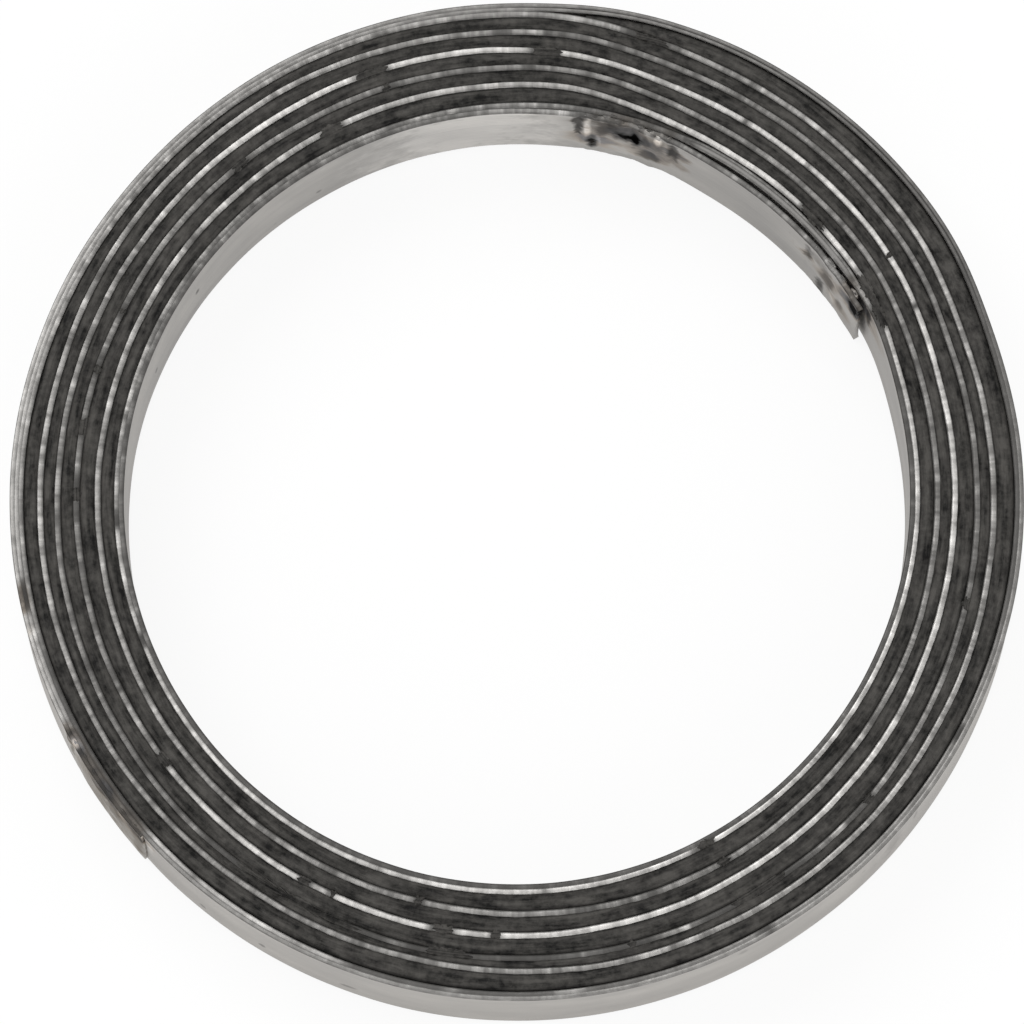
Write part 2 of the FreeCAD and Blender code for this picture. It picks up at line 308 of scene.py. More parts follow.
# Places where the edge is duller or brighter: ply, angle, half width in degrees, change as a share of the level.
EDGE_BREAKS = [
    ("Z", 183.6, 1.1, -0.95), ("Z", 195.0, 1.2, -0.35), ("Z", 201.0, 1.0, -0.85), ("Z", 249.5, 0.6, -0.5),
    ("Z", 298.0, 1.5, -1.0), ("Z", 273.5, 0.4, -0.6), ("Z", 299.8, 0.4, 0.4), ("A", 43.9, 2.7, -0.9),
    ("A", 44.6, 0.5, 0.5), ("A", 116.4, 1.9, -0.85), ("A", 142.0, 0.8, -0.3), ("A", 256.5, 0.9, -0.7),
    ("A", 299.5, 1.2, -0.6), ("A", 321.5, 0.5, -0.8), ("B", 88.0, 1.0, -0.5), ("B", 107.0, 1.4, -0.6),
    ("B", 118.6, 1.3, 0.25), ("B", 129.4, 1.9, -0.8), ("B", 154.5, 1.0, -0.9), ("B", 163.0, 1.2, -0.95),
    ("B", 170.6, 1.6, -0.95), ("B", 179.0, 1.6, -0.9), ("B", 182.6, 0.8, -0.7), ("B", 206.0, 0.8, -0.5),
    ("B", 217.0, 1.3, -0.8), ("B", 241.3, 0.9, -0.95), ("B", 245.4, 0.5, -0.8), ("B", 260.3, 1.7, -0.8),
    ("B", 267.2, 0.7, -0.95), ("B", 330.5, 0.8, -0.4), ("B", 196.6, 1.0, -0.35), ("B", 204.0, 0.7, -0.45),
    ("B", 189.0, 0.6, -0.45), ("B", 211.0, 1.4, 0.25), ("A", 243.5, 1.2, -0.35), ("A", 262.0, 2.4, 0.3),
    ("D", 84.0, 2.0, -0.25), ("B", 386.0, 0.7, -0.8), ("C", 33.4, 0.4, -0.85), ("C", 48.9, 0.4, -0.5),
    ("C", 58.8, 0.5, -0.7), ("C", 86.6, 1.9, -0.8), ("C", 108.6, 2.3, -1.0), ("C", 202.0, 1.6, -0.4),
    ("C", 225.6, 0.5, 0.6), ("C", 254.5, 1.4, 2.6), ("C", 268.0, 2.0, 1.0), ("C", 277.5, 2.6, 2.0),
    ("C", 290.0, 3.4, 2.2), ("C", 291.2, 0.5, 2.2), ("C", 312.5, 3.6, 2.4), ("C", 313.7, 0.5, 1.6),
    ("D", 43.6, 0.7, -0.5), ("D", 164.6, 0.4, -0.95), ("D", 115.4, 0.4, -0.5), ("E", 60.8, 1.2, -0.4),
    ("E", 230.0, 0.6, -0.5), ("E", 238.9, 1.5, 0.5), ("E", 243.6, 0.5, -0.5), ("E", 276.0, 1.5, 1.4),
    ("E", 262.5, 0.8, 0.8), ("E", 299.6, 0.8, -0.8), ("E", 331.5, 1.1, -0.95), ("D", 151.0, 1.6, -0.3),
    ("A", 141.0, 1.2, -0.3), ("Z", 318.5, 0.6, -0.4), ("B", 351.5, 0.6, -0.4), ("F", 300.0, 0.7, -0.6),
    ("F", 196.1, 0.7, 0.5), ("G", 191.4, 1.6, -0.35), ("G", 195.9, 0.7, 0.4), ("F", 191.4, 2.0, -0.93),
    ("G", 209.5, 0.8, 2.6), ("F", 209.6, 0.7, 1.2), ("G", 184.8, 0.5, -0.3),
]


def soft_ended(name, centre):
    """Whether a break fades out slowly, as against the flat-topped rest."""
    return name == "B" and 90 < centre < 215 or name == "C" and centre > 250 or (name, centre) == ("A", 299.5)


def edge_bare_and_glint(angles):
    """How clean of graphite the cut edge is, with painted highlight in it, at unwrapped angles, from 0 to 1."""
    level = np.zeros_like(angles)
    ply = np.clip(np.floor((angles - CUT) / 360.0).astype(int), 0, len(PLIES) - 1)
    local = angles - 360.0 * ply
    for name, steps in EDGE_LEVELS.items():
        here = ply == PLIES.index(name)
        level = np.where(here, np.interp(local, [a for a, s in steps], [s for a, s in steps]), level)
    for name, centre, half, change in EDGE_BREAKS:
        here = ply == PLIES.index(name)
        fade = np.exp(-((local - centre) / half) ** (2 if soft_ended(name, centre) else 4))
        level = np.where(here, level * (1 + change * fade), level)
    return np.clip(level, 0, 1)


# Beads of weld metal on the edges: angle, radius, height, half sizes along, across and up, how bright.
BEADS = [
    (68.9, 14.16, 5.52, 0.15, 0.10, 0.20, 1.00), (67.3, 14.24, 5.60, 0.16, 0.09, 0.12, 0.45),
    (70.3, 14.24, 5.60, 0.20, 0.11, 0.11, 0.14), (71.8, 14.30, 5.60, 0.18, 0.10, 0.13, 0.32),
    (74.9, 14.26, 5.60, 0.30, 0.12, 0.12, 0.30), (76.9, 14.32, 5.60, 0.24, 0.12, 0.13, 0.42),
    (78.5, 14.24, 5.60, 0.20, 0.11, 0.12, 0.18), (79.9, 14.22, 5.58, 0.10, 0.08, 0.13, 0.62),
    (76.0, 14.40, 5.60, 0.34, 0.08, 0.12, 0.22), (72.6, 14.44, 5.60, 0.26, 0.08, 0.12, 0.16),
    (31.6, 14.26, 5.56, 0.22, 0.12, 0.14, 0.02), (34.2, 14.18, 5.60, 0.24, 0.10, 0.11, 0.34),
    (37.2, 14.20, 5.60, 0.26, 0.10, 0.11, 0.26), (40.2, 14.16, 5.60, 0.18, 0.09, 0.11, 0.40),
    (209.5, 18.13, 5.56, 0.22, 0.10, 0.16, 0.95), (211.4, 18.10, 5.60, 0.20, 0.10, 0.12, 0.20),
    (213.4, 18.12, 5.60, 0.26, 0.10, 0.12, 0.14), (216.4, 18.12, 5.60, 0.30, 0.11, 0.12, 0.26),
    (219.0, 18.12, 5.60, 0.24, 0.10, 0.12, 0.20), (221.0, 18.12, 5.60, 0.20, 0.10, 0.12, 0.34),
    (208.2, 18.14, 5.60, 0.12, 0.10, 0.11, 0.08),
]


def bead(angle, radius, height, long, wide, tall):
    """A small uneven drop of metal."""
    around, up = 14, 9
    t = math.radians(angle)
    verts = []
    for i in range(up):
        lift = math.pi * ((i + 0.25) / (up - 0.5) - 0.5)
        for j in range(around):
            turn = 2 * math.pi * j / around
            d = Vector((math.cos(lift) * math.cos(turn), math.cos(lift) * math.sin(turn), math.sin(lift)))
            size = 1 + 0.35 * noise.noise(d * 1.6 + Vector((angle, radius, 0)))
            r, along = radius + d.x * wide * size, d.y * long * size
            x, y = r * math.cos(t) - along * math.sin(t), r * math.sin(t) + along * math.cos(t)
            verts.append((x, y, height + d.z * tall * size))
    faces = ring_faces(up, around)
    faces.append(tuple(range(around))[::-1])
    faces.append(tuple(range((up - 1) * around, up * around)))
    return np.array(verts) * MM, faces


def run_of(angles):
    """Rough distance along the strip in millimetres."""
    turns = (angles - CUT) / 360.0
    return 2 * math.pi * (14.1 * turns + 0.29 * turns * turns)


def strip_outline():
    """Cross-section of the strip, counted round from the inner wall: depth from the inner face, and height."""
    levels = np.array([0.06, 0.75, 1.4, 2.05, 2.8, 3.55, 4.2, 4.85, 5.54]) + Z_LOW
    crown = [(0.004, 5.592), (0.055, 5.599), (0.082, 5.6), (0.112, 5.598), (0.146, 5.592)]
    outline = [(0.0, z) for z in levels]
    outline += [(u, z + Z_LOW) for u, z in crown]
    outline += [(STRIP, z) for z in levels[::-1]]
    outline += [(0.146, Z_LOW + 0.008), (0.075, Z_LOW), (0.004, Z_LOW + 0.008)]
    return np.array([u for u, z in outline]), np.array([z for u, z in outline])


def strip_stretches(angles):
    """Where the strip is part of the rim, where the rim's wraps are merged, and where a bare wrap's edge is double."""
    rim = ramp(angles, *RIM_STARTS)[:, None]
    around = np.mod(angles, 360)
    merged = rim * (ramp(around, *RIM_MERGES) + 1 - ramp(around, *RIM_PARTS))[:, None]
    doubled = (ramp(angles, *DOUBLE_STARTS) * (1 - ramp(angles, *DOUBLE_ENDS)))[:, None]
    return rim, merged, doubled


def edge_spread(angles, u, z, rim, merged, doubled):
    """Widening of the strip at its cut edges: the burr, the merged rim and the double edge."""
    at_edge = np.where(np.abs(z - MIDDLE) > EDGE_REACH, 1.0, 0.0)[None, :]
    side = (u / STRIP - 0.5)[None, :]
    burr = at_edge * (BURR + BURR_GROWTH * ramp(angles, *BURR_WIDENS)[:, None]) * (1 - rim)
    spread = side * (burr - RIM_LOSS * rim + MERGED_SPREAD * merged * at_edge)
    return spread + DOUBLE_SPREAD * at_edge * side * doubled


def strip_bare_and_glint(angles, u, slot, merged, doubled):
    """Brightness of the cut edge for every point: painted shade on its rounded corners, painted shade in the slot of
    the double edge and a painted highlight on its lips.
    """
    middle = (u > 0.05) & (u < 0.12)
    bared_glint = edge_bare_and_glint(angles)[:, None]
    phase = np.where(u < 0.075, 3.0, 9.0)[None, :]
    run = run_of(angles)[:, None]
    corner_shade_waver = np.sin(run * 2.3 + phase) + np.sin(run * 5.1 + 2 * phase) + np.sin(run * 9.7 + phase)
    # Painted shade: the rounded corners of the edge are darker, less so where the edge is bright, wavering along the
    # strip.
    corner = np.clip(0.58 + 0.28 * bared_glint + 0.11 * corner_shade_waver, 0.35, 1.0)
    # Painted shade in the slot of the double edge and painted highlight on its two lips; the merged rim gets less
    # painted corner shade.
    across = np.where(middle[None, :], 1.0, corner) + doubled * np.where(middle, -0.10, 0.42)[None, :]
    across = across - doubled * np.where(slot, 0.84, 0.0)[None, :]
    across = across + merged * np.where(middle, 0.0, 0.14)[None, :]
    return (bared_glint * across).ravel()


def make_strip():
    """The wound strip with its weld beads, and a function that gives the run along it at an unwrapped angle."""
    angles = stations(CUT, LAST_ANGLE, STRIP_RINGS)
    u, z = strip_outline()
    rings, size = len(angles), len(u)
    inner = ply_radius(angles, 0.0)[:, None]
    outer = ply_radius(angles, STRIP)[:, None]
    r = inner + (outer - inner) * (u / STRIP)[None, :]
    a = np.repeat(angles[:, None], size, 1)
    zz = np.repeat(z[None, :], rings, 0)
    rim, merged, doubled = strip_stretches(angles)
    r = r + wander(a) + wall_push(a, zz) + edge_spread(angles, u, z, rim, merged, doubled)
    slot = (u > 0.05) & (u < 0.09) & (z > MIDDLE)
    zz = zz - np.where(slot, SLOT_DEPTH, 0.0)[None, :] * doubled
    t = np.radians(a)
    verts = np.stack([r * np.cos(t), r * np.sin(t), zz], -1).reshape(-1, 3) * MM
    faces = ring_faces(rings, size)
    faces.append(tuple(range(size))[::-1])
    faces.append(tuple(range((rings - 1) * size, rings * size)))
    run = np.cumsum(np.concatenate([[0], np.diff(np.radians(angles)) * inner[1:, 0]]))
    path = np.stack([np.repeat(run[:, None], size, 1), zz, r], -1).reshape(-1, 3) * MM
    bare_and_glint = strip_bare_and_glint(angles, u, slot, merged, doubled)

    def run_at(angle):
        return float(np.interp(angle, angles, run))

    for angle, radius, height, long, wide, tall, level in BEADS:
        more, joins = bead(angle, radius, height, long, wide, tall)
        faces += [tuple(k + len(verts) for k in f) for f in joins]
        unwrapped = angle if radius < MEAN_RADIUS else angle + LAST_TURN
        at = np.repeat([[run_at(unwrapped), 0, radius]], len(more), 0) * MM
        path = np.concatenate([path, at + more * (1, 1, 0)])
        verts = np.concatenate([verts, more])
        bare_and_glint = np.concatenate([bare_and_glint, np.full(len(more), level)])
    return add_mesh("strip_winding", verts, faces, [("path", path), ("bare_and_glint", bare_and_glint)]), run_at


# Graphite smeared over the metal's edge: ply, angle, half length in degrees, half width in millimetres.
SMEARS = [
    ("C", 108.6, 2.3, 0.30), ("A", 116.4, 1.9, 0.30), ("Z", 298.3, 1.2, 0.15), ("C", 86.2, 2.0, 0.28),
    ("A", 43.6, 2.3, 0.17), ("B", 129.4, 1.2, 0.22), ("B", 170.6, 1.2, 0.20), ("B", 162.8, 0.7, 0.20),
    ("B", 154.4, 0.4, 0.18), ("B", 217.0, 1.2, 0.25), ("B", 241.3, 0.8, 0.25), ("B", 267.2, 0.6, 0.25),
    ("E", 73.8, 2.4, 0.17), ("A", 299.3, 0.9, 0.20), ("B", 260.4, 1.5, 0.22), ("B", 179.6, 1.0, 0.18),
    ("C", 33.4, 0.35, 0.18), ("Z", 387.4, 2.6, 0.22), ("A", 31.2, 2.2, 0.22), ("C", 241.5, 9.5, 0.26),
    ("C", 301.3, 4.3, 0.26), ("C", 261.5, 3.0, 0.24), ("C", 284.2, 0.5, 0.18), ("C", 319.0, 0.9, 0.20),
    ("B", 107.4, 0.6, 0.18), ("B", 245.4, 0.4, 0.18), ("C", 346.5, 0.8, 0.16), ("A", 256.5, 0.7, 0.2),
]
# Section of a smear from its middle outward: share of its half size, drop in millimetres. The last ring is its root.
SMEAR_PROFILE = [(0.25, 0.0), (0.5, 0.004), (0.7, 0.014), (0.87, 0.034), (1.0, 0.080), (0.94, 0.3)]


def smear(name, centre, half, width):
    """A flat ragged patch of graphite over one ply's edge, sunk into the filler on both sides."""
    unwrapped = centre + 360.0 * PLIES.index(name)
    around = 48 + int(half * 12)
    verts, path, faces = [], [], []
    for rho, drop in SMEAR_PROFILE:
        for j in range(around):
            turn = 2 * math.pi * j / around
            along, across = math.sin(turn), math.cos(turn)
            ragged = 1 + 0.5 * noise.fractal(Vector((along * half * 2.2, across * 1.5, centre)), 0.8, 2.0, 3)
            nick = noise.fractal(Vector((across * width * 9, along * half * 2.6, centre + 7.0)), 0.7, 2.0, 3)
            frayed = math.copysign(min(half, 0.8), along) * rho ** 2 * nick * 0.75
            angle = unwrapped + along * rho * half * (0.8 + 0.2 * ragged) + frayed
            at = np.array([angle])
            r = float(ply_radius(at, STRIP / 2)[0] + wander(at)[0]) + across * rho * width * (ragged + 0.14 * nick)
            t = math.radians(angle)
            p = Vector((r * math.cos(t), r * math.sin(t), 0.0))
            z = TOP - SMEAR_SINK - drop + (noise.noise(p * 6.5) * 0.026 + noise.noise(p * 2.1) * 0.016)
            verts.append((p.x, p.y, z))
            path.append((r * t, r, z))
    last = len(SMEAR_PROFILE) - 1
    for i in range(last):
        for j in range(around):
            k = (j + 1) % around
            faces.append((i * around + j, (i + 1) * around + j, (i + 1) * around + k, i * around + k))
    faces.append(tuple(range(around)))
    faces.append(tuple(range(last * around, (last + 1) * around))[::-1])
    return np.array(verts) * MM, np.array(path) * MM, faces


def make_filler():
    """The wound graphite. It starts as a thin wedge before its step and ends squeezed into its last one."""
    first, last = CLIMB - WEDGE, FILLER_END + 360 * FILLER_TURNS + 6
    angles = stations(first, last, [(first, last, FILLER_RING_STEP)])
    across, drop = np.array(FILLER_SECTION).T
    u = np.concatenate([across, across[::-1]])
    z = np.concatenate([TOP - drop, drop[::-1]])
    top = np.concatenate([np.ones(len(across)), -np.ones(len(across))])
    inner = ply_radius(angles + 360, STRIP)[:, None]
    outer = ply_radius(angles + 720, 0.0)[:, None]
    outer = np.maximum(outer, inner + LEAST_WIDTH)
    r = inner + (outer - inner) * u[None, :]
    a = np.repeat(angles[:, None], len(u), 1)
    zz = np.repeat(z[None, :], len(angles), 0).copy()
    sink = WEDGE_SINK * (1 - ramp(angles, first, CLIMB - 4)) + END_SINK * ramp(angles, last - 9, last)
    zz -= top[None, :] * sink[:, None]
    edge = np.minimum(u, 1 - u)[None, :] * (outer - inner)
    t = np.radians(a)
    x, y = r * np.cos(t), r * np.sin(t)
    rough = np.zeros_like(r)
    for i in range(r.shape[0]):
        for j in range(r.shape[1]):
            p = Vector((x[i, j], y[i, j], 40.0 * top[j]))
            rough[i, j] = noise.fractal(p * 2.6, 1.0, 2.0, 3) * 0.030 + noise.noise(p * 8.0) * 0.022
    free = np.clip(edge / 0.06, 0.2, 1)
    zz -= top[None, :] * np.clip(rough + 0.018, 0.0, 0.08) * free
    low, high = wander(angles + 360)[:, None], wander(angles + 720)[:, None]
    r = r + low + (high - low) * u[None, :] + (0.5 - u)[None, :] * 0.008
    verts = np.stack([r * np.cos(t), r * np.sin(t), zz], -1).reshape(-1, 3) * MM
    faces = ring_faces(len(angles), len(u))
    faces.append(tuple(range(len(u)))[::-1])
    faces.append(tuple(range((len(angles) - 1) * len(u), len(angles) * len(u))))
    # How far a point lies from the metal; the graphite shader puts painted shade where this is low.
    side = np.clip(edge / 0.27, 0, 1).ravel()
    run = np.radians(angles)[:, None] * inner
    path = np.stack([run + 0 * r, r, zz], -1).reshape(-1, 3) * MM
    rings = len(verts)
    for name, centre, half, width in SMEARS:
        more, along, joins = smear(name, centre, half, width)
        faces += [tuple(k + len(verts) for k in f) for f in joins]
        verts = np.concatenate([verts, more])
        path = np.concatenate([path, along])
    side = np.concatenate([side, np.ones(len(verts) - rings)])
    return add_mesh("graphite_winding", verts, faces, [("middle", side), ("path", path)])


class Nodes:
    """A material or world's node tree, with short calls to add and join nodes."""

    def __init__(self, tree):
        self.tree = tree
        tree.nodes.clear()

    def add(self, kind, settings=None, **inputs):
        node = self.tree.nodes.new(kind)
        for key, value in (settings or {}).items():
            setattr(node, key, value)
        for key, value in inputs.items():
            self.put(node, key, value)
        return node

    def put(self, node, key, value):
        """Sets or links an input, by its name or, as i0, i1 and so on, by its number."""
        name = key.replace("_", " ")
        socket = node.inputs[int(key[1:])] if key[0] == "i" and key[1:].isdigit() else node.inputs[name]
        if isinstance(value, bpy.types.NodeSocket):
            self.tree.links.new(value, socket)
        else:
            socket.default_value = value

    def math(self, operation, a, b=0.0, c=0.0, clamp=False):
        node = self.add("ShaderNodeMath", {"operation": operation, "use_clamp": clamp}, i0=a, i1=b, i2=c)
        return node.outputs[0]

    def mix(self, factor, a, b, blend="MIX"):
        node = self.add("ShaderNodeMix", {"data_type": "RGBA", "blend_type": blend}, i0=factor, i6=a, i7=b)
        return node.outputs[2]

    def band(self, value, a, b, low=0.0, high=1.0):
        node = self.add("ShaderNodeMapRange", {"clamp": True}, i0=value, i1=a, i2=b, i3=low, i4=high)
        return node.outputs[0]

    def noise(self, vector, scale, detail=3.0, roughness=0.6):
        node = self.add("ShaderNodeTexNoise", {}, Vector=vector, Scale=scale, Detail=detail, Roughness=roughness)
        return node.outputs[0]

    def stretch(self, vector, x, y, z):
        node = self.add("ShaderNodeMapping", {}, Vector=vector, Scale=(x, y, z))
        return node.outputs[0]

    def distance(self, vector, point):
        node = self.add("ShaderNodeVectorMath", {"operation": "DISTANCE"}, i0=vector, i1=point)
        return node.outputs["Value"]


def grey(v, warm=0.0):
    """A linear grey, a little warmer with a small second number."""
    return (v * (1 + warm), v, v * (1 - 1.4 * warm), 1.0)


# Heat marks round the welds: angle, radius of the wall, height, reach, strength.
HEAT = [
    (73.2, 14.05, 4.4, 2.1, 0.62), (69.6, 14.05, 2.6, 1.6, 0.62), (78.6, 14.05, 2.2, 1.4, 0.62),
    (66.9, 14.05, 4.0, 1.0, 0.55), (41.0, 14.05, 3.8, 0.9, 0.55), (36.4, 14.05, 3.4, 1.3, 0.42),
    (34.0, 14.05, 1.6, 1.1, 0.36), (30.6, 14.05, 4.6, 1.5, 0.70), (26.6, 14.3, 4.4, 1.1, 0.26),
    (210.5, 18.2, 4.8, 1.7, 0.80), (215.5, 18.2, 4.6, 2.1, 0.82), (220.0, 18.1, 4.9, 1.5, 0.72),
    (191.3, 18.1, 5.5, 0.7, 0.36), (188.0, 18.15, 5.5, 0.5, 0.26), (195.8, 18.1, 5.5, 0.5, 0.22),
]
# Marks on the walls: ply, angle, height, half length and half height in millimetres, and what they multiply the
# colour by, below 1 for dark ones.
MARKS = [
    # Painted shade and highlight: the narrow upright marks along the creases, on ply W at 81.0, 79.6, 68.9, 66.4 and
    # 41.3, darken the grooves and lighten the ridges.
    ("W", 73.8, 4.7, 2.1, 1.5, 0.70), ("W", 77.0, 4.9, 0.9, 1.2, 0.80), ("W", 81.0, 4.4, 0.20, 1.5, 0.14),
    ("W", 81.0, 3.4, 0.13, 0.8, 0.30), ("W", 79.6, 4.3, 0.14, 1.4, 2.2), ("W", 78.9, 1.7, 0.22, 1.1, 0.06),
    ("W", 78.0, 2.0, 0.10, 0.8, 1.6), ("W", 77.2, 4.2, 0.30, 1.2, 0.50), ("W", 74.2, 3.7, 0.46, 0.85, 0.04),
    ("W", 72.5, 4.1, 0.25, 1.5, 0.03), ("W", 72.2, 3.4, 0.22, 0.7, 0.10), ("W", 75.9, 4.9, 0.22, 0.5, 0.45),
    ("W", 70.8, 4.0, 0.16, 1.2, 0.55), ("W", 70.2, 1.9, 0.40, 0.9, 0.45), ("W", 68.9, 5.0, 0.18, 0.7, 3.0),
    ("W", 66.4, 4.2, 0.24, 1.6, 0.22), ("W", 67.6, 4.0, 0.12, 1.0, 1.25), ("W", 75.0, 1.9, 0.9, 1.0, 1.25),
    ("W", 80.4, 5.6, 0.20, 0.4, 0.35), ("W", 76.0, 5.7, 0.34, 0.5, 0.30), ("W", 74.6, 5.7, 0.12, 0.5, 0.5),
    ("W", 71.9, 5.5, 0.42, 0.6, 0.28), ("W", 69.7, 5.7, 0.24, 0.4, 0.5), ("W", 67.6, 5.7, 0.16, 0.4, 0.3),
    ("W", 78.2, 5.4, 0.20, 0.5, 0.7), ("W", 41.3, 4.0, 0.26, 1.1, 0.28), ("W", 38.2, 1.1, 0.24, 1.0, 0.18),
    ("W", 36.8, 3.2, 0.42, 1.2, 0.50), ("W", 38.8, 4.6, 0.5, 0.8, 0.75), ("W", 35.3, 1.6, 0.20, 0.8, 1.40),
    ("W", 33.5, 2.2, 0.20, 0.8, 0.60), ("W", 30.3, 4.8, 0.42, 1.2, 0.06), ("W", 388.2, 4.6, 0.16, 1.2, 0.25),
    # Painted light: the four broad lighter marks on W at 97.0 lighten the back of the bore as if it caught more light.
    ("W", 97.0, 2.8, 4.6, 5.2, 1.13), ("W", 97.0, 2.8, 3.8, 4.8, 1.13), ("W", 97.0, 2.8, 3.0, 4.6, 1.11),
    ("W", 97.0, 2.8, 2.2, 4.6, 1.08), ("W", 145.4, 3.2, 0.13, 0.3, 0.35), ("W", 158.0, 2.2, 0.10, 0.25, 0.4),
    ("W", 121.0, 1.5, 0.12, 0.2, 0.5), ("F", 250.4, 1.2, 0.30, 0.25, 0.55), ("F", 239.6, 1.4, 0.14, 0.3, 0.5),
    ("F", 231.3, 1.0, 0.12, 0.2, 0.5), ("F", 318.0, 3.0, 0.45, 1.6, 0.80), ("F", 322.0, 3.4, 0.10, 1.0, 0.72),
    ("F", 296.6, 4.3, 0.20, 0.5, 0.75), ("G", 209.5, 5.2, 0.17, 0.7, 2.6), ("G", 207.7, 4.6, 0.12, 1.4, 0.3),
    ("G", 219.0, 4.9, 0.30, 0.7, 2.0), ("F", 223.2, 4.2, 0.18, 1.5, 1.3), ("G", 222.1, 4.6, 0.10, 1.2, 0.35),
    ("G", 191.9, 5.4, 0.50, 0.5, 0.75), ("G", 213.2, 3.4, 1.45, 3.6, 0.60), ("G", 218.6, 3.2, 1.50, 3.8, 0.58),
    ("G", 215.6, 4.2, 0.5, 1.6, 0.72), ("G", 221.4, 3.0, 0.3, 3.4, 0.6), ("G", 209.6, 4.6, 0.28, 1.3, 2.1),
    ("G", 208.3, 3.2, 0.12, 2.4, 0.5),
]
# Marks with a factor below this are soot and not bare metal.
SOOTY = 0.13


def wall_colour(n, path, cloud, rolled, speck):
    """Rolled metal: clouds, fine lines along the strip, painted shade on the lower part, where the wall reflects the
    floor's shadow, and a few specks.
    """
    wall = n.mix(n.band(cloud, 0.32, 0.68), grey(0.38, 0.02), grey(0.50, 0.03))
    wall = n.mix(n.band(rolled, 0.40, 0.75, 0.0, 0.30), wall, grey(0.64, 0.03))
    z = n.add("ShaderNodeSeparateXYZ", {}, i0=path).outputs[1]
    # Painted shade: the wall is darker towards its foot, where it reflects the floor's shadow.
    wall = n.mix(n.band(z, 0.3 * MM, 5.4 * MM, 0.30, 0.0), wall, grey(0.30, 0.03))
    return n.mix(n.band(speck, 0.735, 0.79, 0.0, 0.70), wall, grey(0.06, 0.05))


def heat_level(n, place, patchy):
    """How burnt the metal is, 0 to 1, from its distance to the welds."""
    char = None
    for angle, radius, height, reach, strength in HEAT:
        t = math.radians(angle)
        centre = (radius * MM * math.cos(t), radius * MM * math.sin(t), height * MM)
        d = n.distance(place, centre)
        d = n.math("MULTIPLY_ADD", n.math("SUBTRACT", patchy, 0.5), 2.6 * MM, d)
        heat = n.band(d, 0.25 * reach * MM, reach * MM, strength, 0.0)
        char = heat if char is None else n.math("MAXIMUM", char, heat)
    return char


def heat_tint(n, char):
    """Straw, then brown and purple, then blue grey, then scorched."""
    tint = n.add("ShaderNodeValToRGB", {}, Fac=char)
    stops = [
        (0.0, (1, 1, 1)), (0.12, (0.94, 0.92, 0.90)), (0.26, (0.79, 0.74, 0.69)), (0.42, (0.60, 0.56, 0.53)),
        (0.60, (0.45, 0.45, 0.47)), (0.80, (0.34, 0.34, 0.36)), (1.0, (0.14, 0.135, 0.14)),
    ]
    ramp_stops = tint.color_ramp.elements
    ramp_stops[0].color = (*stops[0][1], 1)
    ramp_stops[1].color = (*stops[-1][1], 1)
    for position, colour in stops[1:-1]:
        ramp_stops.new(position).color = (*colour, 1)
    return tint.outputs[0]


def edge_colour(n, bare_and_glint, path, radius, grain):
    """The strip's cut edge, from filmed over with graphite to clean metal and with painted highlight, with dashes
    along it. Also gives that level, painted highlight included.
    """
    dashes = n.noise(n.stretch(path, 850, 0, 0), 1.0, 3.0, 0.7)
    quick = n.noise(n.stretch(path, 2600, 0, 0), 1.0, 3.0, 0.7)
    change = n.math("MULTIPLY", n.band(dashes, 0.38, 0.62, 0.45, 1.42), n.band(quick, 0.36, 0.64, 0.70, 1.26))
    calmer_rim = n.band(radius, 17.70 * MM, 17.95 * MM, 1.0, 0.35)
    share = n.math("MULTIPLY", n.math("MULTIPLY_ADD", bare_and_glint, -0.75, 1.15), calmer_rim)
    lift = n.math("MULTIPLY", bare_and_glint, n.math("MULTIPLY_ADD", n.math("SUBTRACT", change, 1.0), share, 1.0))
    bare_glint_level = n.math("MULTIPLY", lift, n.band(grain, 0.25, 0.75, 0.82, 1.16))
    return n.mix(n.math("POWER", bare_glint_level, 1.5), grey(0.028, 0.05), grey(0.475, 0.025)), bare_glint_level


def add_marks(n, colour, path, run_at, patchy, grain, edge):
    """The colour with the marks on it, and how sooty the surface is. The outer weld's marks are brown."""
    ragged = n.math("MULTIPLY", n.math("SUBTRACT", patchy, 0.5), 2.2 * MM)
    ragged = n.math("MULTIPLY_ADD", n.math("SUBTRACT", grain, 0.5), 0.35 * MM, ragged)
    damp = n.math("MULTIPLY_ADD", edge, -0.6, 1.0)
    gain, soot = 1.0, 0.0
    for name, angle, height, half_length, half_height, factor in MARKS:
        run = run_at(PLIES.index(name) * 360 + angle)
        centre = (run / half_length * MM, height / half_height * MM, 0.0)
        near = n.stretch(path, 1 / half_length, 1 / half_height, 0)
        d = n.math("ADD", n.distance(near, centre), ragged)
        if name == "G":
            mark = n.math("MULTIPLY", n.band(d, 0.6 * MM, 1.25 * MM, 1.0, 0.0), damp)
            colour = n.mix(mark, colour, n.mix(1.0, colour, grey(factor, 0.05), "MULTIPLY"))
            continue
        gain = n.math("MULTIPLY", n.band(d, 0.6 * MM, 1.25 * MM, factor, 1.0), gain)
        if factor < SOOTY:
            soot = n.math("MAXIMUM", n.band(d, 0.3 * MM, 1.3 * MM, 0.79, 0.0), soot)
    gain = n.math("MULTIPLY_ADD", n.math("SUBTRACT", gain, 1.0), damp, 1.0)
    return n.mix(1.0, colour, gain, "MULTIPLY"), soot


